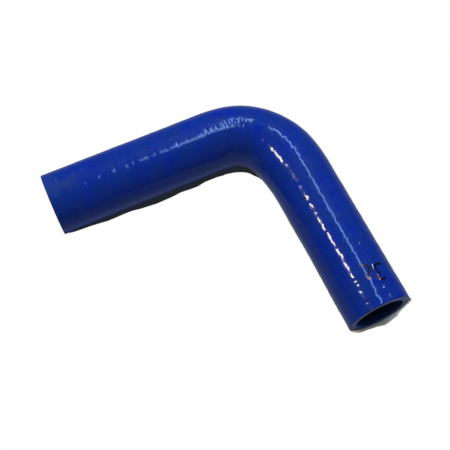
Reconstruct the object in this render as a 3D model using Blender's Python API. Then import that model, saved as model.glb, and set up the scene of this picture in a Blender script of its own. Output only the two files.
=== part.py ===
"""Silicone elbow hose: one wrapped and cured piece with two straight legs and a 90 degree bend.

The hose lies on its side on the floor. Its left leg runs along -X and its right leg along -Y.
The drawing's zero is the corner where the two leg axes cross, and the finished hose is then
moved so that the middle of its box's base is at the origin. Lengths are in metres.

The skin is one closed loop of rings: along the outer wall, over the right cut end, back along
the bore and over the left cut end. Every ring is the same polygon with its own centre, heading
and radius, so neighbouring rings are joined by quads, and so are the last ring and the first.
"""

import math

import bmesh
import bpy
from mathutils import Vector

# Section: the bore fits over a pipe of this diameter, and the plies make the wall around it
BORE_DIAMETER = 0.032
WALL = 0.005

# Legs: from the corner where the axes cross to each cut end
LEFT_LEG = 0.1585
RIGHT_LEG = 0.156

# Bend: the mandrel is tighter next to the left leg, and the turn starts and ends softly
BEND_ANGLE = 90.0
LEFT_BEND_RADIUS = 0.035
RIGHT_BEND_RADIUS = 0.0455
BEND_EASE = 0.0065

# Throat: the plies bunch on the inside of the bend, thickest a little towards the right leg
THROAT_FULLNESS = 0.0025
THROAT_SPREAD = 0.020
THROAT_SHIFT = 0.0215

# Cut ends: square, with the knife's sharp edges just broken
EDGE_BREAK = 0.0004

# Resolution
SIDES = 48
BEND_STEPS = 32
LEG_STEP = 0.025
TURN_STEP = 0.0002

# Ease lengths past the bend's arc on each side, where the last of the turn has faded out
EASE_REACH = 3.0

BORE_RADIUS = BORE_DIAMETER / 2
OUTER_RADIUS = BORE_RADIUS + WALL
LEFT_ARC = math.radians(BEND_ANGLE / 2) * LEFT_BEND_RADIUS
RIGHT_ARC = math.radians(BEND_ANGLE / 2) * RIGHT_BEND_RADIUS
THROAT_MIDDLE = (LEFT_ARC + RIGHT_ARC) / 2 + THROAT_SHIFT

BLUE = (0.008, 0.027, 0.30, 1.0)
ROUGHNESS = 0.28


def clear_scene():
    """Remove every object of the open scene."""
    for obj in list(bpy.data.objects):
        bpy.data.objects.remove(obj, do_unlink=True)


def silicone():
    """Dark blue cured silicone rubber, fairly glossy."""
    material = bpy.data.materials.new("blue_silicone")
    material.use_nodes = True
    shader = material.node_tree.nodes["Principled BSDF"]
    shader.inputs["Base Color"].default_value = BLUE
    shader.inputs["Roughness"].default_value = ROUGHNESS
    shader.inputs["Metallic"].default_value = 0.0
    material.diffuse_color = BLUE
    return material


def soft_ramp(distance):
    """A ramp that starts at distance 0 with slope rising from 0 to 1 over the ease length."""
    x = distance / BEND_EASE
    bell = math.exp(-x * x / 2) / math.sqrt(2 * math.pi)
    share = (1 + math.erf(x / math.sqrt(2))) / 2
    return BEND_EASE * (x * share + bell)


def heading(distance):
    """How far the centreline has turned, in radians, at a distance past the bend's start."""
    start = soft_ramp(distance)
    change = soft_ramp(distance - LEFT_ARC)
    end = soft_ramp(distance - LEFT_ARC - RIGHT_ARC)
    return (start - change) / LEFT_BEND_RADIUS + (change - end) / RIGHT_BEND_RADIUS


def direction(turn):
    """The way the centreline runs once it has turned this far: +X at first, then towards -Y."""
    return Vector((math.cos(turn), -math.sin(turn), 0.0))


def bend_stations():
    """Centre and heading of each ring in the bend, the first at (0, 0) with heading 0."""
    reach = EASE_REACH * BEND_EASE
    length = LEFT_ARC + RIGHT_ARC + 2 * reach
    small_steps = max(1, round(length / BEND_STEPS / TURN_STEP))
    step = length / BEND_STEPS / small_steps
    place = Vector((0.0, 0.0, 0.0))
    distance = -reach
    stations = [(distance, place.copy(), 0.0)]
    for ring in range(BEND_STEPS):
        for _ in range(small_steps):
            place += step * direction(heading(distance + step / 2))
            distance += step
        last = ring == BEND_STEPS - 1
        stations.append((distance, place.copy(), math.radians(BEND_ANGLE) if last else heading(distance)))
    return stations


def centreline():
    """Stations (distance, centre, heading) from the left cut end to the right one, corner at zero."""
    bend = bend_stations()
    first, last = bend[0], bend[-1]
    run_in = last[1].x - last[1].y * direction(last[2]).x / direction(last[2]).y
    corner = Vector((run_in, 0.0, 0.0))
    bend = [(distance, centre - corner, turn) for distance, centre, turn in bend]
    left_rest = LEFT_LEG - run_in
    right_rest = RIGHT_LEG - bend[-1][1].length
    left = []
    left_count = max(1, round(left_rest / LEG_STEP))
    for i in range(left_count):
        back = left_rest * (1 - i / left_count)
        left.append((first[0] - back, bend[0][1] - back * direction(0.0), 0.0))
    right = []
    right_count = max(1, round(right_rest / LEG_STEP))
    for i in range(right_count):
        on = right_rest * (i + 1) / right_count
        right.append((last[0] + on, bend[-1][1] + on * direction(last[2]), last[2]))
    return left + bend + right


def outer_radius(distance, angle):
    """Radius of the outer wall, fuller on the inside of the bend. Angle 0 is the bend's outside."""
    inside = max(0.0, -math.cos(angle))
    rise = math.exp(-((distance - THROAT_MIDDLE) / THROAT_SPREAD) ** 2)
    return OUTER_RADIUS + THROAT_FULLNESS * rise * inside ** 2


def ring(bm, station, radius_at, inset=0.0, slide=0.0):
    """One polygon of vertices around a station, flat side down, set in and slid along if asked."""
    distance, centre, turn = station
    forward = direction(turn)
    outward = Vector((-forward.y, forward.x, 0.0))
    verts = []
    for i in range(SIDES):
        angle = 2 * math.pi * (i + 0.5) / SIDES
        radius = radius_at(distance, angle) - inset
        offset = radius * (math.cos(angle) * outward + math.sin(angle) * Vector((0.0, 0.0, 1.0)))
        verts.append(bm.verts.new(centre + offset + slide * forward))
    return verts


def bore_radius(distance, angle):
    """The mandrel is round and the same all along."""
    return BORE_RADIUS


def skin_rings(bm):
    """The rings in order: outer wall, right end, bore the other way, left end."""
    line = centreline()
    left, right = line[0], line[-1]
    rings = [ring(bm, left, outer_radius, slide=EDGE_BREAK)]
    rings += [ring(bm, station, outer_radius) for station in line[1:-1]]
    rings.append(ring(bm, right, outer_radius, slide=-EDGE_BREAK))
    rings.append(ring(bm, right, outer_radius, inset=EDGE_BREAK))
    rings.append(ring(bm, right, bore_radius, inset=-EDGE_BREAK))
    rings.append(ring(bm, right, bore_radius, slide=-EDGE_BREAK))
    rings += [ring(bm, station, bore_radius) for station in reversed(line[1:-1])]
    rings.append(ring(bm, left, bore_radius, slide=EDGE_BREAK))
    rings.append(ring(bm, left, bore_radius, inset=-EDGE_BREAK))
    rings.append(ring(bm, left, outer_radius, inset=EDGE_BREAK))
    return rings


def bridge(bm, ring_a, ring_b):
    """Join two rings with quads."""
    for i in range(SIDES):
        j = (i + 1) % SIDES
        bm.faces.new((ring_a[i], ring_a[j], ring_b[j], ring_b[i]))


def stand_on_origin(bm):
    """Move the hose so that its box's base is centred on the origin."""
    xs = [v.co.x for v in bm.verts]
    ys = [v.co.y for v in bm.verts]
    zs = [v.co.z for v in bm.verts]
    base = Vector(((min(xs) + max(xs)) / 2, (min(ys) + max(ys)) / 2, min(zs)))
    bmesh.ops.translate(bm, verts=bm.verts, vec=-base)


def elbow_hose():
    """The whole hose as one closed skin."""
    bm = bmesh.new()
    rings = skin_rings(bm)
    for i, ring_a in enumerate(rings):
        bridge(bm, ring_a, rings[(i + 1) % len(rings)])
    stand_on_origin(bm)
    bmesh.ops.recalc_face_normals(bm, faces=bm.faces)
    mesh = bpy.data.meshes.new("elbow_hose")
    bm.to_mesh(mesh)
    bm.free()
    mesh.shade_smooth()
    mesh.set_sharp_from_angle(angle=math.radians(30))
    mesh.materials.append(silicone())
    hose = bpy.data.objects.new("elbow_hose", mesh)
    bpy.context.scene.collection.objects.link(hose)
    return hose


clear_scene()
elbow_hose()
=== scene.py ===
"""Looks of the silicone elbow hose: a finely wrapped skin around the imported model, its cut ends, its
printed size, the floor it lies on, the lamps and the camera. Lengths are in metres.

Every place on the skin has straightened coordinates, as if the hose were pulled straight: the
distance along the centreline from the left cut end, and the two offsets from the centreline. The
skin's relief and its materials are patterns in those coordinates, so they follow the bend.
"""

import math

import bpy
import numpy as np
from mathutils import Matrix, Vector, noise


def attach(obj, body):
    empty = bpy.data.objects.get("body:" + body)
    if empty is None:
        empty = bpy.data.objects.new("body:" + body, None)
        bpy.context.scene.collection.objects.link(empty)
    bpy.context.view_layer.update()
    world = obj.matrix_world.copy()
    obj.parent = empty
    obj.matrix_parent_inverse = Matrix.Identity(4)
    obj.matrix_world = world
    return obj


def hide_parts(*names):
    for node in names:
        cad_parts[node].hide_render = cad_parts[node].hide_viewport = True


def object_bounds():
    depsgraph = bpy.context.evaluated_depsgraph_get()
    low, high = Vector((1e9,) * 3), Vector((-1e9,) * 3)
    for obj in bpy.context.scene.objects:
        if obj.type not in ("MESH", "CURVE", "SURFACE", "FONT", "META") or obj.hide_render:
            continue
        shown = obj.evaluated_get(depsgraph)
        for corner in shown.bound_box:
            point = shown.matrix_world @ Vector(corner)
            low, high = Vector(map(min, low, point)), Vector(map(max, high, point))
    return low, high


NODE = "elbow_hose"

# The bend, as in the part's design: two radii, a soft start and end, and a fuller throat
LEFT_BEND_RADIUS = 0.035
RIGHT_BEND_RADIUS = 0.0455
BEND_EASE = 0.0065
HALF_BEND = math.radians(45)
THROAT_FULLNESS = 0.0025
THROAT_SPREAD = 0.020
THROAT_SHIFT = 0.0215
WALL = 0.005
EDGE_BREAK = 0.0004

# Fineness of the visible mesh
SIDES = 112
SKIN_STEP = 0.00044
BORE_STEP = 0.0045
FACE_RINGS = 9
EDGE_ANGLES = (30, 60, 90)
LINE_STEP = 0.0001

# Skin: its highest marks stay this far under the full radius, and its mean level lies lower than
# those by the top of the relief
SKIN_DEPTH = 0.00002
RELIEF_TOP = 0.00010

# Wrap marks: two families of fine ridges around the hose that lean either way, strong in places
# and strongest where the bend begins
RIDGE_HEIGHT = 0.000052
RIDGE_PITCH = 0.0013
RIDGE_REACH = 0.016
RIDGE_LEAN = 0.22
RIDGE_SEEDS = (3.5, 17.5)
RIDGE_PATCH = 0.030
RIDGE_PATCH_MEAN = 0.7
RIDGE_PATCH_SWING = 1.4
RIDGE_PATCH_LEAST = 0.4
RIDGE_SHARE = 0.32
RIDGE_EXTRA = 1.12
RIDGE_MIDDLE = 0.1355
RIDGE_SPREAD = 0.0098

# Broader waves of the wrapping tape: nearly square to the left leg and leaning on the right one
LEFT_WAVE_HEIGHT = 0.000045
LEFT_WAVE_PITCH = 0.0042
LEFT_WAVE_REACH = 0.026
LEFT_WAVE_LEAN = 0.06
RIGHT_WAVE_HEIGHT = 0.000085
RIGHT_WAVE_PITCH = 0.0036
RIGHT_WAVE_REACH = 0.012
RIGHT_WAVE_LEAN = 0.50
WAVE_CHANGE = (0.120, 0.165)
WAVE_SEEDS = (31.5, 47.5)

# Small pebbling from the fabric's weave, and soft lumps where the plies overlap
PEBBLE_HEIGHT = 0.000022
PEBBLE_SIZE = 0.0024
LUMP_HEIGHT = 0.000090
LUMP_SIZE = 0.011
LUMP_SHIFT = Vector((0, 0, 9))

# Shallow dimples on the upper side, most of them along the left leg, longer around the hose than
# along it: distance from the left end, distance across, depth and size along the hose, in mm. The
# stretch and the reach, at which a dimple ends along the hose, are counted in sizes
DIMPLES = [
    (25.8, -5.5, 0.110, 1.2), (35.9, -5.4, 0.122, 1.4), (46.5, -5.6, 0.137, 1.8),
    (55.0, -5.5, 0.100, 1.7), (59.0, -4.9, 0.080, 1.3), (68.7, -4.8, 0.085, 1.6),
    (71.6, -5.1, 0.045, 0.9), (74.2, -5.4, 0.045, 0.9), (82.4, -2.6, 0.062, 1.0),
    (90.0, -3.7, 0.058, 1.1), (97.0, -2.8, 0.042, 0.9), (107.8, -3.7, 0.040, 0.9),
    (111.4, -3.6, 0.038, 0.9), (115.0, -3.5, 0.034, 0.8), (118.4, -3.4, 0.034, 0.8),
    (155.9, -8.6, 0.090, 1.1), (275.9, -10.2, 0.085, 1.1), (278.6, -10.2, 0.065, 1.0),
    (290.8, -9.7, 0.095, 1.3),
]
DIMPLE_STRETCH = 2.4
DIMPLE_REACH = 3

# Fullness of the skin on the inside of the legs, with a swelling past the bend, and the length over
# which both fade out at the cut ends
LEG_FULLNESS = 0.00020
SWELLING = 0.00062
SWELLING_MIDDLE = 0.212
SWELLING_SPREAD = 0.022
FULLNESS_FADE = 0.020

# Cut faces
FACE_ROUGHNESS = 0.00014
FACE_GRAIN = 0.0012

# Camera: it looks at a point on the plane of the bend, given from the corner of the leg axes
CAMERA_AIM = Vector((-0.06108, -0.06112, 0.0))
CAMERA_DISTANCE = 0.48242
CAMERA_AZIMUTH = -21.858
CAMERA_ELEVATION = 64.741
CAMERA_ROLL = -2.727
CAMERA_LENS = 59.40
CAMERA_CLIP_START = 0.01


def srgb(red, green, blue):
    """Linear colour of an sRGB triple of 0 to 255."""
    def linear(value):
        value /= 255
        return value / 12.92 if value <= 0.04045 else ((value + 0.055) / 1.055) ** 2.4
    return (linear(red), linear(green), linear(blue), 1.0)


class Design:
    """The hose's main sizes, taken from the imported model's box."""

    def __init__(self, low, high):
        self.outer = (high.z - low.z) / 2
        self.bore = self.outer - WALL
        self.corner = Vector((high.x - self.outer, high.y - self.outer, low.z + self.outer))
        self.left_leg = self.corner.x - low.x
        self.right_leg = self.corner.y - low.y
        self.floor = low.z
        self.left_arc = HALF_BEND * LEFT_BEND_RADIUS
        self.right_arc = HALF_BEND * RIGHT_BEND_RADIUS
        self.make_centreline()

    def soft_ramp(self, distance):
        """A ramp whose slope rises from 0 to 1 over the ease length."""
        x = distance / BEND_EASE
        bell = math.exp(-x * x / 2) / math.sqrt(2 * math.pi)
        share = (1 + math.erf(x / math.sqrt(2))) / 2
        return BEND_EASE * (x * share + bell)

    def heading(self, distance):
        """How far the centreline has turned at a distance past the bend's start."""
        start = self.soft_ramp(distance)
        change = self.soft_ramp(distance - self.left_arc)
        end = self.soft_ramp(distance - self.left_arc - self.right_arc)
        return (start - change) / LEFT_BEND_RADIUS + (change - end) / RIGHT_BEND_RADIUS

    def make_centreline(self):
        """Tables of distance from the left end, place and heading along the whole centreline."""
        reach = self.left_leg + self.right_leg
        past_start = np.arange(-reach, reach, LINE_STEP)
        turn = np.array([self.heading(d) for d in past_start])
        middle = (turn[1:] + turn[:-1]) / 2
        xs = np.concatenate([[0], np.cumsum(np.cos(middle)) * LINE_STEP])
        ys = np.concatenate([[0], np.cumsum(-np.sin(middle)) * LINE_STEP])
        xs -= xs[-1]
        inside = (xs >= -self.left_leg) & (ys >= -self.right_leg)
        self.line_x = xs[inside] + self.corner.x
        self.line_y = ys[inside] + self.corner.y
        self.line_turn = turn[inside]
        self.line_s = past_start[inside] - past_start[inside][0]
        self.length = self.line_s[-1]
        bend_start = -past_start[inside][0]
        self.throat = bend_start + (self.left_arc + self.right_arc) / 2 + THROAT_SHIFT

    def wall_radius(self, s, angle):
        """Radius of the outer wall, fuller on the inside of the bend. Angle 0 is its outside."""
        inside = np.clip(-np.cos(angle), 0, 1)
        rise = np.exp(-((s - self.throat) / THROAT_SPREAD) ** 2)
        return self.outer + THROAT_FULLNESS * rise * inside ** 2

    def fullness(self, s, angle):
        """How far the skin stands out on the inside of the legs, fading out at the cut ends."""
        inside = np.clip(-np.cos(angle), 0, 1)
        swell = SWELLING * np.exp(-((s - SWELLING_MIDDLE) / SWELLING_SPREAD) ** 2)
        end = np.minimum(s, self.length - s)
        return (LEG_FULLNESS + swell) * inside ** 2 * np.clip(end / FULLNESS_FADE, 0, 1)

    def place(self, s, angle, radius):
        """Points in the frame for straightened places, as an array of rows."""
        x = np.interp(s, self.line_s, self.line_x)
        y = np.interp(s, self.line_s, self.line_y)
        turn = np.interp(s, self.line_s, self.line_turn)
        out = radius * np.cos(angle)
        return np.stack(
            [x + out * np.sin(turn), y + out * np.cos(turn), self.corner.z + radius * np.sin(angle)],
            axis=-1,
        )


def leaning(s, across, up, pitch, reach, lean, seed):
    """One family of marks around the hose that lean along it, about -1 to 1."""
    along = (s + lean * across) / pitch
    return noise.noise(Vector((along, across / reach + seed, up / reach)))


def ridges(s, across, up, lean, seed):
    """One family of fine wrap marks, weaker and stronger in patches."""
    mark = leaning(s, across, up, RIDGE_PITCH, RIDGE_REACH, lean, seed)
    where = noise.noise(Vector((s / RIDGE_PATCH, across / RIDGE_PATCH, up / RIDGE_PATCH + seed)))
    patch = min(1.0, max(RIDGE_PATCH_LEAST, RIDGE_PATCH_MEAN + RIDGE_PATCH_SWING * where))
    share = RIDGE_SHARE + RIDGE_EXTRA * math.exp(-((s - RIDGE_MIDDLE) / RIDGE_SPREAD) ** 2)
    return mark * share * patch


def ramp(value, start, end):
    """0 up to the start, 1 from the end on, and even between them."""
    return min(1.0, max(0.0, (value - start) / (end - start)))


def waves(s, across, up):
    """Height of the broad waves, which change their kind over the bend."""
    share = ramp(s, *WAVE_CHANGE)
    height = 0.0
    if share < 1:
        seed = WAVE_SEEDS[0]
        square = leaning(s, across, up, LEFT_WAVE_PITCH, LEFT_WAVE_REACH, LEFT_WAVE_LEAN, seed)
        height += (1 - share) * LEFT_WAVE_HEIGHT * square
    if share > 0:
        for lean, seed in zip((RIGHT_WAVE_LEAN, -RIGHT_WAVE_LEAN), WAVE_SEEDS):
            slant = leaning(s, across, up, RIGHT_WAVE_PITCH, RIGHT_WAVE_REACH, lean, seed)
            height += share * RIGHT_WAVE_HEIGHT * slant
    return height


def dimples(s, across, up):
    """Depth of the dimples at a straightened place. The underside has none."""
    depth = 0.0
    for along, beside, deep, size in DIMPLES:
        ahead = (1000 * s - along) / size
        aside = (1000 * across - beside) / (size * DIMPLE_STRETCH)
        if up > 0 and abs(ahead) < DIMPLE_REACH:
            depth += deep / 1000 * math.exp(-ahead ** 2 - aside ** 2)
    return depth


def skin_depth(s, across, up):
    """How far the skin lies below its full radius, with all of its marks."""
    marks = sum(
        ridges(s, across, up, lean, seed)
        for lean, seed in zip((RIDGE_LEAN, -RIDGE_LEAN), RIDGE_SEEDS)
    )
    place = Vector((s, across, up))
    pebble = noise.noise(place / PEBBLE_SIZE)
    lump = noise.noise(place / LUMP_SIZE + LUMP_SHIFT)
    relief = RIDGE_HEIGHT * marks + waves(s, across, up)
    relief += PEBBLE_HEIGHT * pebble + LUMP_HEIGHT * lump - dimples(s, across, up)
    return SKIN_DEPTH + max(0.0, RELIEF_TOP - relief)


def skin_depths(stations, angle, radius):
    """Skin depth for many straightened places."""
    return np.array([
        skin_depth(s, r * math.cos(a), r * math.sin(a))
        for s, a, r in zip(stations, angle, radius)
    ])


def face_depths(s, angle, radius):
    """How far a cut face lies inside its plane: the knife's drag across the plies."""
    return np.array([
        FACE_ROUGHNESS * (0.5 + 0.5 * noise.noise(
            Vector((r * math.cos(a), r * math.sin(a), s)) / FACE_GRAIN
        ))
        for a, r in zip(angle, radius)
    ])


def ring_plan(design):
    """The rings of the closed skin as (kind, distance, inset), in order around the wall."""
    low, high = EDGE_BREAK, design.length - EDGE_BREAK
    skin = np.linspace(low, high, round((high - low) / SKIN_STEP) + 1)
    bore = np.linspace(high, low, round((high - low) / BORE_STEP) + 1)
    quarter = [math.radians(a) for a in EDGE_ANGLES]
    face = np.linspace(EDGE_BREAK, WALL - EDGE_BREAK, FACE_RINGS)
    rings = [("skin", s, 0.0) for s in skin]
    rings += [
        ("skin", high + EDGE_BREAK * math.sin(a), EDGE_BREAK * (1 - math.cos(a))) for a in quarter
    ]
    rings += [("face", design.length, inset) for inset in face[1:]]
    rings += [
        ("bore", high + EDGE_BREAK * math.cos(a), -EDGE_BREAK * (1 - math.sin(a)))
        for a in quarter[:-1]
    ]
    rings += [("bore", s, 0.0) for s in bore]
    rings += [
        ("bore", low - EDGE_BREAK * math.cos(a), -EDGE_BREAK * (1 - math.sin(a)))
        for a in reversed(quarter[:-1])
    ]
    rings += [("face", 0.0, inset) for inset in face[::-1]]
    rings += [
        ("skin", low - EDGE_BREAK * math.sin(a), EDGE_BREAK * (1 - math.cos(a)))
        for a in reversed(quarter[:-1])
    ]
    return rings


def add_object(name, data):
    """A new object in the scene."""
    obj = bpy.data.objects.new(name, data)
    bpy.context.scene.collection.objects.link(obj)
    return obj


def simple_mesh(name, verts, faces, material):
    """A mesh in one material."""
    mesh = bpy.data.meshes.new(name)
    mesh.from_pydata(verts, [], faces)
    mesh.materials.append(material)
    return mesh


def store_straight(mesh, straight):
    """Give a mesh the straightened coordinates of its corners, for its materials."""
    coordinates = mesh.attributes.new("straight", "FLOAT_VECTOR", "POINT")
    coordinates.data.foreach_set("vector", straight.ravel())


def grid_faces(rows, columns, first=0):
    """Faces of a grid whose corners are numbered row by row."""
    return [
        (a, a + 1, a + columns + 1, a + columns)
        for row in range(rows - 1)
        for a in range(first + row * columns, first + (row + 1) * columns - 1)
    ]


def hose_mesh(design):
    """The whole hose as one fine closed skin with its straightened coordinates."""
    angle = 2 * math.pi * (np.arange(SIDES) + 0.5) / SIDES
    plan = ring_plan(design)
    places, straight = [], []
    for kind, s, inset in plan:
        stations = np.full(SIDES, s)
        if kind == "bore":
            radius = np.full(SIDES, design.bore - inset)
        else:
            radius = design.wall_radius(s, angle) - inset
        if kind == "skin":
            radius = radius + design.fullness(s, angle) - skin_depths(stations, angle, radius)
        if kind == "face":
            inward = 1 if s == 0 else -1
            stations = stations + inward * face_depths(s, angle, radius)
        places.append(design.place(stations, angle, radius))
        straight.append(
            np.stack([np.full(SIDES, s), radius * np.cos(angle), radius * np.sin(angle)], axis=-1)
        )
    first = np.arange(len(plan))[:, None] * SIDES + np.arange(SIDES)[None, :]
    along = np.roll(first, -1, axis=0)
    faces = np.stack(
        [first, np.roll(first, -1, axis=1), np.roll(along, -1, axis=1), along], axis=-1
    ).reshape(-1, 4)
    mesh = bpy.data.meshes.new("hose_skin")
    mesh.from_pydata(np.concatenate(places).tolist(), [], faces[:, ::-1].tolist())
    store_straight(mesh, np.concatenate(straight))
    zone = {"skin": 0, "face": 1, "bore": 2}
    kinds = [kind for kind, _, _ in plan]
    slots = []
    for kind, after in zip(kinds, kinds[1:] + kinds[:1]):
        slots += [zone["face" if "face" in (kind, after) else kind]] * SIDES
    mesh.polygons.foreach_set("material_index", slots)
    mesh.shade_smooth()
    mesh.update()
    return mesh


class Nodes:
    """Short calls for building a material's node tree, with a shader for surfaces or none."""

    def __init__(self, name, with_shader=True):
        self.material = bpy.data.materials.new(name)
        self.material.use_nodes = True
        self.tree = self.material.node_tree
        self.shader = self.tree.nodes["Principled BSDF"]
        self.surface = self.tree.nodes["Material Output"].inputs["Surface"]
        self.straight = None
        if not with_shader:
            self.tree.nodes.remove(self.shader)

    def add(self, kind, **values):
        """A new node with these settings."""
        node = self.tree.nodes.new("ShaderNode" + kind)
        for key, value in values.items():
            setattr(node, key, value)
        return node

    def link(self, source, target):
        """Feed one socket to another."""
        self.tree.links.new(source, target)

    def set(self, socket, value):
        """Feed a socket from another one or with a constant."""
        if isinstance(value, bpy.types.NodeSocket):
            self.link(value, socket)
        else:
            socket.default_value = value

    def coordinates(self):
        """The straightened coordinates."""
        if self.straight is None:
            self.straight = self.add("Attribute", attribute_name="straight").outputs["Vector"]
        return self.straight

    def stretched(self, along, around):
        """Straightened coordinates divided by a length along the hose and one around it."""
        node = self.add("VectorMath", operation="DIVIDE")
        self.link(self.coordinates(), node.inputs[0])
        node.inputs[1].default_value = (along, around, around)
        return node.outputs["Vector"]

    def noise(self, along, around, detail=2.0, w=0.0):
        """Soft noise from 0 to 1 with features of about these lengths. Each w gives another one."""
        node = self.add("TexNoise", noise_dimensions="4D")
        self.link(self.stretched(along, around), node.inputs["Vector"])
        node.inputs["W"].default_value = w
        node.inputs["Scale"].default_value = 1.0
        node.inputs["Detail"].default_value = detail
        node.inputs["Roughness"].default_value = 0.5
        return node.outputs["Fac"]

    def value(self, number):
        """A plain number."""
        node = self.add("Value")
        node.outputs[0].default_value = number
        return node.outputs[0]

    def ranged(self, value, low, high, to_low=0.0, to_high=1.0):
        """Map a range to another, softly at its ends, and stop there."""
        node = self.add("MapRange", interpolation_type="SMOOTHSTEP")
        self.set(node.inputs["Value"], value)
        node.inputs["From Min"].default_value = low
        node.inputs["From Max"].default_value = high
        node.inputs["To Min"].default_value = to_low
        node.inputs["To Max"].default_value = to_high
        return node.outputs["Result"]

    def math(self, operation, first, second=0.0):
        """One operation on one or two numbers."""
        node = self.add("Math", operation=operation)
        self.set(node.inputs[0], first)
        self.set(node.inputs[1], second)
        return node.outputs["Value"]

    def length(self, first, second):
        """Length of a flat offset."""
        square = self.math("MULTIPLY", first, first)
        return self.math("SQRT", self.math("ADD", square, self.math("MULTIPLY", second, second)))

    def mix(self, factor, first, second):
        """Mix two colours."""
        node = self.add("Mix", data_type="RGBA")
        self.set(node.inputs["Factor"], factor)
        self.set(node.inputs["A"], first)
        self.set(node.inputs["B"], second)
        return node.outputs["Result"]

    def bump(self, height, distance, normal=None):
        """Raise a surface by this distance where the height is 1."""
        node = self.add("Bump")
        node.inputs["Strength"].default_value = 1.0
        node.inputs["Distance"].default_value = distance
        self.link(height, node.inputs["Height"])
        if normal is not None:
            self.link(normal, node.inputs["Normal"])
        return node.outputs["Normal"]

    def near(self, centre, size):
        """1 at a straightened place, falling to 0 at a distance of size in each direction."""
        move = self.add("VectorMath", operation="SUBTRACT")
        self.link(self.coordinates(), move.inputs[0])
        move.inputs[1].default_value = centre
        squeeze = self.add("VectorMath", operation="DIVIDE")
        self.link(move.outputs["Vector"], squeeze.inputs[0])
        squeeze.inputs[1].default_value = size
        length = self.add("VectorMath", operation="LENGTH")
        self.link(squeeze.outputs["Vector"], length.inputs[0])
        return self.ranged(length.outputs["Value"], 1.0, 0.0)


def either_shader(tree, choice, first, second):
    """The second of two shaders where the choice is 1, else the first."""
    node = tree.nodes.new("ShaderNodeMixShader")
    for socket, source in zip(node.inputs, (choice, first, second)):
        tree.links.new(source, socket)
    return node.outputs["Shader"]


# Silicone: two blues in soft patches, and the faint bloom that lies over them
SILICONE = srgb(17, 50, 141)
SILICONE_DEEP = srgb(9, 44, 155)
SILICONE_BLOOM = srgb(26, 58, 144)
BLOOM_SHARE = 0.36
SILICONE_IOR = 1.43
SKIN_ROUGHNESS = (0.10, 0.15)
FINE_MARK_HEIGHT = 0.000008
GRAIN_HEIGHT = 0.000004

# Handling marks: straightened place, size in each direction, colour and strength
SMUDGES = [
    ((0.0130, -0.0005, 0.0209), (0.0130, 0.0070, 0.0070), srgb(46, 68, 116), 0.42),
    ((0.0220, 0.0030, 0.0205), (0.0110, 0.0050, 0.0050), srgb(42, 66, 122), 0.36),
    ((0.0040, 0.0020, 0.0200), (0.0110, 0.0180, 0.0180), srgb(38, 64, 140), 0.60),
    ((0.1235, 0.0018, 0.0209), (0.0075, 0.0036, 0.0036), srgb(34, 54, 112), 0.55),
    ((0.0708, 0.0018, 0.0209), (0.0030, 0.0013, 0.0013), srgb(14, 36, 96), 0.80),
]

# Painted glints of small nicks that run around the hose: straightened place, size, strength
PAINTED_NICK_GLINTS = [
    ((0.0084, 0.0046, 0.0205), 0.0010, 0.24), ((0.0145, 0.0055, 0.0203), 0.0007, 0.16),
    ((0.0201, 0.0049, 0.0204), 0.0008, 0.20), ((0.0260, 0.0048, 0.0204), 0.0010, 0.22),
    ((0.0250, -0.0055, 0.0203), 0.0009, 0.40), ((0.0153, -0.0057, 0.0202), 0.0008, 0.24),
    ((0.0048, -0.0060, 0.0201), 0.0010, 0.18), ((0.0352, 0.0053, 0.0203), 0.0007, 0.16),
    ((0.0403, -0.0053, 0.0203), 0.0009, 0.16), ((0.0690, -0.0135, 0.0161), 0.0010, 0.14),
]
NICK_GLINT_COLOUR = srgb(92, 122, 196)
NICK_GLINT_SHAPE = Vector((0.7, 1.8, 1.8))

# Places rubbed dull: straightened place, size in each direction and how much of the gloss is lost
FULL_GLOSS = 0.5
DULL_PATCHES = [
    ((0.1495, -0.0010, 0.0209), (0.0085, 0.0075, 0.0075), 0.92),
    ((0.1628, -0.0099, 0.0185), (0.0060, 0.0040, 0.0040), 0.92),
    ((0.2833, 0.0047, 0.0205), (0.0028, 0.0034, 0.0034), 1.0),
    ((0.2872, -0.0099, 0.0185), (0.0042, 0.0040, 0.0040), 0.80),
    ((0.2899, 0.0046, 0.0205), (0.0030, 0.0034, 0.0034), 1.0),
]


def skin_tone(n):
    """Blue in soft patches, with a faint bloom in bands and mottle, smudges and painted glints of
    nicks.
    """
    patches = n.ranged(n.noise(0.014, 0.018, detail=2.0), 0.36, 0.64)
    tone = n.mix(patches, SILICONE_DEEP, SILICONE)
    bands = n.ranged(n.noise(0.0015, 0.012, detail=3.0, w=4.0), 0.42, 0.70, 0.0, BLOOM_SHARE)
    tone = n.mix(bands, tone, SILICONE_BLOOM)
    mottle = n.ranged(n.noise(0.0035, 0.0045, detail=3.0, w=24.0), 0.40, 0.72, 0.0, BLOOM_SHARE)
    tone = n.mix(mottle, tone, SILICONE_BLOOM)
    for centre, size, colour, strength in SMUDGES:
        shape = n.math("MULTIPLY", n.near(centre, size), n.noise(0.004, 0.003, detail=3.0, w=20.0))
        tone = n.mix(n.ranged(shape, 0.08, 0.42, 0.0, strength), tone, colour)
    # Painted glints: pale flecks where small nicks catch the light
    for centre, size, strength in PAINTED_NICK_GLINTS:
        nick_glint = n.ranged(n.near(centre, size * NICK_GLINT_SHAPE), 0.0, 0.7, 0.0, strength)
        tone = n.mix(nick_glint, tone, NICK_GLINT_COLOUR)
    return tone


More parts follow.
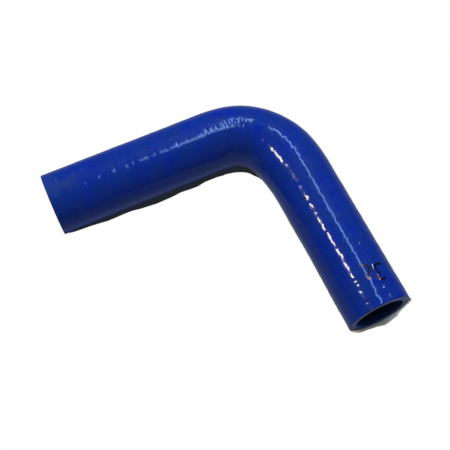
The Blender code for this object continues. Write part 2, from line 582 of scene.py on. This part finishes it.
def skin_material():
    """Glossy blue silicone with fine wrap marks and a few dull places."""
    n = Nodes("blue_silicone_skin")
    n.link(skin_tone(n), n.shader.inputs["Base Color"])
    rough = n.ranged(n.noise(0.004, 0.012, detail=3.0, w=8.0), 0.3, 0.8, *SKIN_ROUGHNESS)
    n.link(rough, n.shader.inputs["Roughness"])
    gloss = n.value(FULL_GLOSS)
    for centre, size, lost in DULL_PATCHES:
        dull = n.ranged(n.near(centre, size), 0.10, 0.40, 0.0, lost)
        gloss = n.math("MULTIPLY", gloss, n.math("SUBTRACT", 1.0, dull))
    n.link(gloss, n.shader.inputs["Specular IOR Level"])
    n.shader.inputs["IOR"].default_value = SILICONE_IOR
    normal = n.bump(n.noise(0.0009, 0.018, detail=2.0, w=12.0), FINE_MARK_HEIGHT)
    normal = n.bump(n.noise(0.0012, 0.0025, detail=2.0, w=16.0), GRAIN_HEIGHT, normal)
    n.link(normal, n.shader.inputs["Normal"])
    return n.material


# Cut wall: rubber and thread, then painted shade on the outside of the bend and near the floor
CUT_RUBBER = srgb(104, 122, 180)
CUT_THREAD = srgb(172, 168, 160)
CUT_SHADED = srgb(86, 94, 112)
CUT_FLOOR_SHADE = srgb(46, 66, 112)
CUT_ROUGHNESS = 0.55
CUT_GRAIN_HEIGHT = 0.00008


def face_material():
    """The cut wall: pale blue-grey rubber with the plies' thread ends, with painted shade that makes
    it greyer on the outside of the bend and towards the bottom, and darker and bluer near the floor."""
    n = Nodes("cut_wall")
    speck = n.ranged(n.noise(0.0006, 0.0006, detail=3.0), 0.50, 0.68, 0.0, 0.60)
    tone = n.mix(speck, CUT_RUBBER, CUT_THREAD)
    place = n.add("SeparateXYZ")
    n.link(n.coordinates(), place.inputs[0])
    # Painted shade: greyer towards the bottom and the outside of the bend
    low = n.math("SUBTRACT", n.math("MULTIPLY", place.outputs["Y"], 0.5), place.outputs["Z"])
    tone = n.mix(n.ranged(low, -0.006, 0.012, 0.0, 0.85), tone, CUT_SHADED)
    # Painted shade: darker and bluer near the floor
    tone = n.mix(n.ranged(place.outputs["Z"], -0.006, -0.015, 0.0, 0.90), tone, CUT_FLOOR_SHADE)
    n.link(tone, n.shader.inputs["Base Color"])
    n.shader.inputs["Roughness"].default_value = CUT_ROUGHNESS
    n.shader.inputs["IOR"].default_value = SILICONE_IOR
    grain = n.noise(0.0005, 0.0005, detail=3.0, w=2.0)
    n.link(n.bump(grain, CUT_GRAIN_HEIGHT), n.shader.inputs["Normal"])
    return n.material


# Bore: its blue by the cut ends, painted light and shade across the bend, and painted shade
# that darkens it between two depths
BORE_BLUE = srgb(11, 53, 121)
BORE_PALE = srgb(17, 59, 134)
BORE_INNER_PAINTED_LIGHT = srgb(28, 98, 212)
BORE_OUTER_PAINTED_SHADE = srgb(11, 49, 100)
BORE_DEEP_PAINTED_SHADE = srgb(15, 35, 53)
BORE_SHADE_DEPTH = (-0.0010, 0.0062)
BORE_ROUGHNESS = 0.38
BORE_MARK_HEIGHT = 0.00003


def bore_material(design):
    """The bore: a smooth liner with faint marks of the mandrel, blue by the ends, with painted light
    that makes it paler towards the inside of the bend, painted shade towards its outside, and painted
    shade that makes it dark further in."""
    n = Nodes("bore_liner")
    marks = n.ranged(n.noise(0.003, 0.012, detail=3.0), 0.35, 0.75)
    blue = n.mix(marks, BORE_BLUE, BORE_PALE)
    place = n.add("SeparateXYZ")
    n.link(n.coordinates(), place.inputs[0])
    # Painted light: paler towards the inside of the bend
    blue = n.mix(n.ranged(place.outputs["Y"], -0.004, -0.014, 0.0, 0.75), blue, BORE_INNER_PAINTED_LIGHT)
    # Painted shade: darker towards the outside of the bend
    blue = n.mix(n.ranged(place.outputs["Y"], 0.002, 0.013), blue, BORE_OUTER_PAINTED_SHADE)
    # Painted shade: dark further in from both cut ends
    to_right = n.math("SUBTRACT", design.length, place.outputs["X"])
    depth = n.math("MINIMUM", place.outputs["X"], to_right)
    deep = n.ranged(depth, *BORE_SHADE_DEPTH)
    n.link(n.mix(deep, blue, BORE_DEEP_PAINTED_SHADE), n.shader.inputs["Base Color"])
    n.shader.inputs["Roughness"].default_value = BORE_ROUGHNESS
    n.shader.inputs["IOR"].default_value = SILICONE_IOR
    streaks = n.noise(0.0015, 0.010, detail=2.0, w=3.0)
    n.link(n.bump(streaks, BORE_MARK_HEIGHT), n.shader.inputs["Normal"])
    return n.material


def make_hose(design):
    """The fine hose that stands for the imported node."""
    mesh = hose_mesh(design)
    for material in (skin_material(), face_material(), bore_material(design)):
        mesh.materials.append(material)
    hose = add_object("hose", mesh)
    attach(hose, "root")
    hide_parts(NODE)


# Printed size: strokes as (distance from the right end, distance around from the top), in mm
DIGIT_THREE = [
    (23.30, -11.25), (23.78, -10.21), (24.25, -8.63), (23.78, -7.16), (22.83, -5.97),
    (21.88, -5.42), (20.92, -5.71), (19.97, -6.29), (18.78, -6.70), (17.83, -6.28),
    (16.88, -5.09), (15.69, -4.50), (14.74, -4.82), (14.03, -5.93), (14.27, -7.67), (14.74, -9.13),
]
DIGIT_TWO = [
    (26.63, 2.42), (26.16, 1.34), (25.92, -0.10), (25.44, -1.24), (24.73, -2.14),
    (23.78, -2.38), (22.59, -1.80), (21.40, -0.94), (20.69, -0.04), (19.74, 0.79),
    (18.55, 1.32), (17.60, 1.10), (17.12, 0.22), (16.88, -1.22),
]
STROKE_WIDTH = 0.00160
STROKE_TAPER = 0.45
STROKE_LINES = (-0.5, 0.0, 0.5)
INK_THICKNESS = 0.000012

# Ink: the first digit's two tones, the second's, and where across the hose one gives way to the other
INK_HEAVY = (srgb(2, 16, 38), srgb(8, 24, 60))
INK_LIGHT = (srgb(28, 32, 50), srgb(34, 42, 78))
INK_CHANGE = (0.0040, 0.0020)
INK_ROUGHNESS = 0.16
INK_IOR = 2.0
INK_SHEEN = (1.0, 0.42, 0.30, 1.0)

# Where the ink is matt: straightened place, size in each direction and what is left of the gloss
INK_MATT = ((0.2737, 0.0052, 0.0204), (0.0032, 0.0030, 0.0030), 0.03)


def smooth_stroke(points, steps=5):
    """Points along a Catmull-Rom curve through the given ones."""
    ends = [2 * points[0] - points[1]] + list(points) + [2 * points[-1] - points[-2]]
    out = []
    for p0, p1, p2, p3 in zip(ends, ends[1:], ends[2:], ends[3:]):
        for i in range(steps):
            t = i / steps
            out.append(0.5 * (
                2 * p1 + (p2 - p0) * t + (2 * p0 - 5 * p1 + 4 * p2 - p3) * t ** 2
                + (3 * p1 - p0 - 3 * p2 + p3) * t ** 3
            ))
    out.append(points[-1])
    return np.array(out)


def ink_material():
    """Thin dark stamp ink with a faint warm sheen, thinner in the second digit."""
    n = Nodes("stamp_ink")
    worn = n.ranged(n.noise(0.0010, 0.0010, detail=3.0), 0.35, 0.75)
    place = n.add("SeparateXYZ")
    n.link(n.coordinates(), place.inputs[0])
    second = n.ranged(place.outputs["Y"], *INK_CHANGE)
    tone = n.mix(second, n.mix(worn, *INK_HEAVY), n.mix(worn, *INK_LIGHT))
    n.link(tone, n.shader.inputs["Base Color"])
    centre, size, gloss_left = INK_MATT
    gloss = n.ranged(n.near(centre, size), 0.05, 0.40, FULL_GLOSS, gloss_left)
    n.link(gloss, n.shader.inputs["Specular IOR Level"])
    n.shader.inputs["Roughness"].default_value = INK_ROUGHNESS
    n.shader.inputs["IOR"].default_value = INK_IOR
    n.shader.inputs["Specular Tint"].default_value = INK_SHEEN
    return n.material


def make_size_mark(design):
    """The plain number 32, stamped by the right end, a film that follows the skin."""
    verts, faces, straight = [], [], []
    for digit in (DIGIT_THREE, DIGIT_TWO):
        line = smooth_stroke([np.array(p) / 1000 for p in digit])
        run = np.gradient(line, axis=0)
        run /= np.linalg.norm(run, axis=1)[:, None]
        side = np.stack([-run[:, 1], run[:, 0]], axis=-1)
        taper = np.ones(len(line))
        taper[0] = taper[-1] = STROKE_TAPER
        first = len(verts)
        for share in STROKE_LINES:
            flat = line + share * STROKE_WIDTH * taper[:, None] * side
            s = design.length - flat[:, 0]
            angle = math.pi / 2 + flat[:, 1] / design.outer
            radius = np.full(len(s), design.outer)
            radius = radius - skin_depths(s, angle, radius) + INK_THICKNESS
            verts += design.place(s, angle, radius).tolist()
            straight += np.stack([s, radius * np.cos(angle), radius * np.sin(angle)], -1).tolist()
        faces += grid_faces(len(STROKE_LINES), len(line), first)
    mesh = simple_mesh("size_mark", verts, faces, ink_material())
    store_straight(mesh, np.array(straight))
    mesh.shade_smooth()
    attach(add_object("size_mark", mesh), "root")


# Paper: its colour under the lamps, then the colour and level of its glow in the gloss, a painted
# reflection of lit paper, the distance from the hose's centreline over which that level halves, and
# where it rises out of its painted contact shadow by each leg
PAPER = (0.45, 0.45, 0.45, 1.0)
PAPER_MIRRORED = (0.92, 1.10, 1.22, 1.0)
PAPER_MIRRORED_LEVEL = 0.43
PAPER_FADE = 0.075
PAPER_SHADOW_LEFT = (0.016, 0.034)
PAPER_SHADOW_RIGHT = (0.0130, 0.028)
FLOOR_SIZE = 3.0

# The two shades lie this far over the paper
SHADOW_LIFT = 0.00005

# Outer edge of the dark contact shadow on the inside of the bend, from the corner, in mm
SHADOW = (0.0152, 0.0185, 0.0235, 1.0)
SHADOW_EDGE = [
    (-157.8, -10.0), (-156.0, -13.0), (-152.1, -13.6), (-146.2, -13.9), (-140.4, -14.2),
    (-134.5, -14.8), (-128.7, -15.5), (-122.8, -15.4), (-116.8, -15.2), (-110.9, -15.3),
    (-105.0, -16.3), (-99.0, -16.8), (-93.0, -17.3), (-87.0, -17.1), (-80.9, -16.9),
    (-74.8, -16.2), (-68.7, -16.7), (-62.6, -16.9), (-56.4, -15.8), (-50.2, -15.8),
    (-46.4, -15.9), (-43.6, -16.4), (-40.4, -16.4), (-37.6, -17.0), (-34.8, -17.6),
    (-32.1, -18.5), (-29.5, -19.7), (-27.1, -21.1), (-24.9, -23.1), (-23.1, -25.9),
    (-21.1, -28.2), (-18.4, -33.5), (-16.5, -44.0), (-15.5, -60.0), (-14.5, -100.0),
    (-14.0, -150.0), (-10.0, -155.0),
]

# Outer edge of the pale shade under the right end, from the corner, in mm
END_SHADE_EDGE = [
    (-15.9, -153.7), (-14.5, -155.1), (-12.3, -156.4), (-9.8, -157.1), (-7.7, -157.2),
    (-5.6, -157.3), (-3.6, -157.5), (-1.5, -157.8), (0.9, -158.0), (3.2, -158.5), (5.7, -159.1),
    (8.0, -158.9), (10.0, -158.5), (11.7, -158.1), (13.9, -157.5), (15.9, -157.3), (17.7, -156.1),
    (19.1, -155.5), (20.6, -154.9), (22.2, -154.4), (23.8, -153.9), (25.5, -153.2),
    (27.4, -152.8), (28.9, -152.2), (30.2, -151.3),
]
END_SHADE_DEPTH = 0.008
END_SHADE_ROWS = 7
END_SHADE_DARK = np.array((0.040, 0.044, 0.050))
END_SHADE_PALE = np.array((0.150, 0.160, 0.165))
END_SHADE_WARM = np.array((0.60, 0.50, 0.42))

# Where across the end the pale shade turns warm, where it turns paler and by how much, and where
# it narrows to its tip and to what share, in mm from the corner
END_SHADE_WARMING = (-9, -15)
END_SHADE_PALING = (2, 24)
END_SHADE_PALING_GAIN = 1.8
END_SHADE_TIP = (31, 25)
END_SHADE_TIP_SHARE = 0.1


def paper_material(design):
    """White paper to the camera. In the gloss it glows, a painted reflection as bright as the paper in
    the room light is: brightest beside the hose, with a painted contact shadow, and dimmer far away."""
    n = Nodes("white_paper", with_shader=False)
    place = n.add("SeparateXYZ")
    n.link(n.add("TexCoord").outputs["Object"], place.inputs[0])
    dx = n.math("SUBTRACT", place.outputs["X"], design.corner.x)
    dy = n.math("SUBTRACT", place.outputs["Y"], design.corner.y)
    beside_left = n.length(n.math("MAXIMUM", dx, 0.0), dy)
    beside_right = n.length(dx, n.math("MAXIMUM", dy, 0.0))
    beside = n.math("MINIMUM", beside_left, beside_right)
    away = n.math("ADD", 1.0, n.math("DIVIDE", beside, PAPER_FADE))
    fade = n.math("DIVIDE", PAPER_MIRRORED_LEVEL, away)
    # Painted contact shadow in the gloss beside each leg
    left_painted_shadow = n.ranged(beside_left, *PAPER_SHADOW_LEFT)
    right_painted_shadow = n.ranged(beside_right, *PAPER_SHADOW_RIGHT)
    contact = n.math("MULTIPLY", left_painted_shadow, right_painted_shadow)
    lit = n.add("BsdfDiffuse")
    lit.inputs["Color"].default_value = PAPER
    mirrored = n.add("Emission")
    mirrored.inputs["Color"].default_value = PAPER_MIRRORED
    n.link(n.math("MULTIPLY", fade, contact), mirrored.inputs["Strength"])
    seen = n.add("Emission")
    ray = n.add("LightPath").outputs
    lit_or_mirrored = either_shader(
        n.tree, ray["Is Glossy Ray"], lit.outputs["BSDF"], mirrored.outputs["Emission"]
    )
    paper = either_shader(n.tree, ray["Is Camera Ray"], lit_or_mirrored, seen.outputs["Emission"])
    n.link(paper, n.surface)
    return n.material


def shade_material(name, colour=None):
    """A shade on the paper in one colour, or else in the colours given to its corners."""
    n = Nodes(name, with_shader=False)
    if colour is None:
        colour = n.add("Attribute", attribute_name="shade").outputs["Color"]
    dim = n.add("Emission")
    n.set(dim.inputs["Color"], colour)
    n.link(dim.outputs["Emission"], n.surface)
    return n.material


def make_floor(design):
    """White paper."""
    size = FLOOR_SIZE
    z = design.floor
    corners = [(-size, -size, z), (size, -size, z), (size, size, z), (-size, size, z)]
    mesh = simple_mesh("floor", corners, [(0, 1, 2, 3)], paper_material(design))
    add_object("floor", mesh)


def make_contact_shadow(design):
    """The dark core of the hose's shadow on the paper, from its outer edge to under the hose."""
    height = design.floor + SHADOW_LIFT
    edge = [design.corner + Vector((x, y, 0)) / 1000 for x, y in SHADOW_EDGE]
    verts = [(v.x, v.y, height) for v in edge]
    for v in edge:
        k = int(np.argmin((design.line_x - v.x) ** 2 + (design.line_y - v.y) ** 2))
        verts.append((design.line_x[k], design.line_y[k], height))
    material = shade_material("contact_shadow", SHADOW)
    mesh = simple_mesh("contact_shadow", verts, grid_faces(2, len(edge)), material)
    add_object("contact_shadow", mesh)


def end_shade_colour(x, out):
    """Colour of the pale shade at a place across the end, and from its back (0) to its edge (1)."""
    shade = END_SHADE_DARK + (END_SHADE_PALE - END_SHADE_DARK) * out ** 3
    shade = shade * (1 + END_SHADE_PALING_GAIN * ramp(x, *END_SHADE_PALING))
    return shade + (END_SHADE_WARM - shade) * ramp(x, *END_SHADE_WARMING) * out ** 2


def make_end_shade(design):
    """The pale shade on the paper under the right end: darker beside the hose."""
    height = design.floor + SHADOW_LIFT
    verts, shades = [], []
    for x, y in END_SHADE_EDGE:
        edge = design.corner + Vector((x, y, 0)) / 1000
        depth = END_SHADE_DEPTH * max(END_SHADE_TIP_SHARE, ramp(x, *END_SHADE_TIP))
        for row in range(END_SHADE_ROWS):
            out = row / (END_SHADE_ROWS - 1)
            verts.append((edge.x, edge.y + depth * (1 - out), height))
            shades.append((*end_shade_colour(x, out), 1.0))
    faces = grid_faces(len(END_SHADE_EDGE), END_SHADE_ROWS)
    mesh = simple_mesh("end_shade", verts, faces, shade_material("end_shade"))
    colour = mesh.color_attributes.new("shade", "FLOAT_COLOR", "POINT")
    colour.data.foreach_set("color", np.array(shades).ravel())
    add_object("end_shade", mesh)


# Room: its level on the surfaces, and its level and colour in the gloss
WHITE = (1.0, 1.0, 1.0, 1.0)
ROOM_LEVEL = 0.03
ROOM_SEEN = 0.045
ROOM_SEEN_COLOUR = (0.86, 0.92, 1.0, 1.0)


def background(tree, colour, strength):
    """One even background of the world."""
    node = tree.nodes.new("ShaderNodeBackground")
    node.inputs["Color"].default_value = colour
    node.inputs["Strength"].default_value = strength
    return node.outputs["Background"]


def make_world():
    """Plain soft room light. The camera sees white and gloss sees a dim cool room."""
    world = bpy.data.worlds.new("room")
    bpy.context.scene.world = world
    world.use_nodes = True
    tree = world.node_tree
    tree.nodes.clear()
    path = tree.nodes.new("ShaderNodeLightPath")
    light = background(tree, WHITE, ROOM_LEVEL)
    gloss = background(tree, ROOM_SEEN_COLOUR, ROOM_SEEN)
    seen = background(tree, WHITE, 1.0)
    light_or_gloss = either_shader(tree, path.outputs["Is Glossy Ray"], light, gloss)
    both = either_shader(tree, path.outputs["Is Camera Ray"], light_or_gloss, seen)
    output = tree.nodes.new("ShaderNodeOutputWorld")
    tree.links.new(both, output.inputs["Surface"])


# Ceiling lamps and bright strips of window. Each end is given as x and y from the corner of the leg
# axes, for every metre of height, and the glow is the brightness that a mirror would show. They
# hang at this height unless another is given
LAMP_HEIGHT = 1.5
LAMPS = {
    "window_strip": {
        "from": (0.158, 0.07), "to": (0.338, 0.78), "width": 0.086, "glow": 18.2,
        "colour": (0.31, 0.58, 1.0),
    },
    "window_sill": {
        "from": (0.085, 0.070), "to": (0.158, 0.080), "width": 0.500, "glow": 9.0,
        "colour": (0.31, 0.54, 1.0), "height": 3.0,
    },
    "warm_tube": {
        "from": (-0.655, 0.245), "to": (-0.695, 0.385), "width": 0.130, "glow": 60.0,
        "colour": (1.0, 0.91, 0.78),
    },
    "side_lamp": {
        "from": (0.955, 0.198), "to": (0.95, 0.228), "width": 0.07, "glow": 88.0,
        "colour": (0.70, 0.74, 1.0),
    },
}


def placed(origin, x_axis, y_axis, z_axis):
    """The matrix that moves an object to an origin and turns it to these axes."""
    turn = Matrix((x_axis, y_axis, z_axis)).transposed()
    return Matrix.Translation(origin) @ turn.to_4x4()


def make_lamp(design, name, lamp):
    """A straight lamp between two directions seen from the corner of the leg axes."""
    height = lamp.get("height", LAMP_HEIGHT)
    start = design.corner + height * Vector((*lamp["from"], 1.0))
    end = design.corner + height * Vector((*lamp["to"], 1.0))
    middle = (start + end) / 2
    run = (end - start).normalized()
    side = (middle - design.corner).cross(run).normalized()
    data = bpy.data.lights.new(name, "AREA")
    data.shape = "RECTANGLE"
    data.size = (end - start).length
    data.size_y = lamp["width"]
    data.color = lamp["colour"]
    data.energy = lamp["glow"] * math.pi * data.size * data.size_y
    add_object(name, data).matrix_world = placed(middle, run, side, run.cross(side))


# Soft lights that shape the round walls and show in no reflection: direction and level
SOFT_LIGHT_DISTANCE = 1.2
SOFT_LIGHT_SIZE = 0.8
SOFT_LIGHTS = {
    "window": {"azimuth": 60, "elevation": 55, "level": 0.82},
    "second_window": {"azimuth": 120, "elevation": 55, "level": 0.10},
    "wall": {"azimuth": 272, "elevation": 25, "level": 0.120},
    "low_window": {"azimuth": 190, "elevation": 8, "level": 0.11},
}


def make_soft_light(design, name, light):
    """A square soft light that gives a surface facing it the stated level."""
    azimuth = math.radians(light["azimuth"])
    elevation = math.radians(light["elevation"])
    away = Vector((
        math.cos(elevation) * math.cos(azimuth),
        math.cos(elevation) * math.sin(azimuth),
        math.sin(elevation),
    ))
    data = bpy.data.lights.new(name, "AREA")
    data.shape = "SQUARE"
    data.size = SOFT_LIGHT_SIZE
    data.energy = light["level"] * (math.pi * SOFT_LIGHT_DISTANCE) ** 2
    obj = add_object(name, data)
    obj.location = design.corner + SOFT_LIGHT_DISTANCE * away
    obj.rotation_euler = (-away).to_track_quat("-Z", "Y").to_euler()
    obj.visible_glossy = False


def make_camera(design):
    """The photograph's viewpoint."""
    azimuth = math.radians(CAMERA_AZIMUTH)
    elevation = math.radians(CAMERA_ELEVATION)
    roll = math.radians(CAMERA_ROLL)
    back = Vector((
        math.sin(azimuth) * math.cos(elevation),
        -math.cos(azimuth) * math.cos(elevation),
        math.sin(elevation),
    ))
    level_right = Vector((math.cos(azimuth), math.sin(azimuth), 0.0))
    level_up = back.cross(level_right)
    right = math.cos(roll) * level_right + math.sin(roll) * level_up
    up = back.cross(right)
    data = bpy.data.cameras.new("camera")
    data.lens = CAMERA_LENS
    data.clip_start = CAMERA_CLIP_START
    camera = add_object("camera", data)
    place = design.corner + CAMERA_AIM + CAMERA_DISTANCE * back
    camera.matrix_world = placed(place, right, up, back)
    bpy.context.scene.camera = camera


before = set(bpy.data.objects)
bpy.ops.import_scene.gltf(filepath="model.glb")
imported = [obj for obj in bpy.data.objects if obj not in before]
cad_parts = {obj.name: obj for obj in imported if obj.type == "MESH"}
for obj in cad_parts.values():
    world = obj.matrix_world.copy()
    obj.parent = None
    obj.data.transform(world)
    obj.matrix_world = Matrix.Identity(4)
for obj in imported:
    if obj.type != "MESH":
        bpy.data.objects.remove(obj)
cad_low, cad_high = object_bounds()
design = Design(cad_low, cad_high)
bpy.context.scene.view_settings.view_transform = "Standard"
make_camera(design)
make_world()
for light_name, light_values in SOFT_LIGHTS.items():
    make_soft_light(design, light_name, light_values)
for lamp_name, lamp_values in LAMPS.items():
    make_lamp(design, lamp_name, lamp_values)
make_floor(design)
make_contact_shadow(design)
make_end_shade(design)
make_hose(design)
make_size_mark(design)
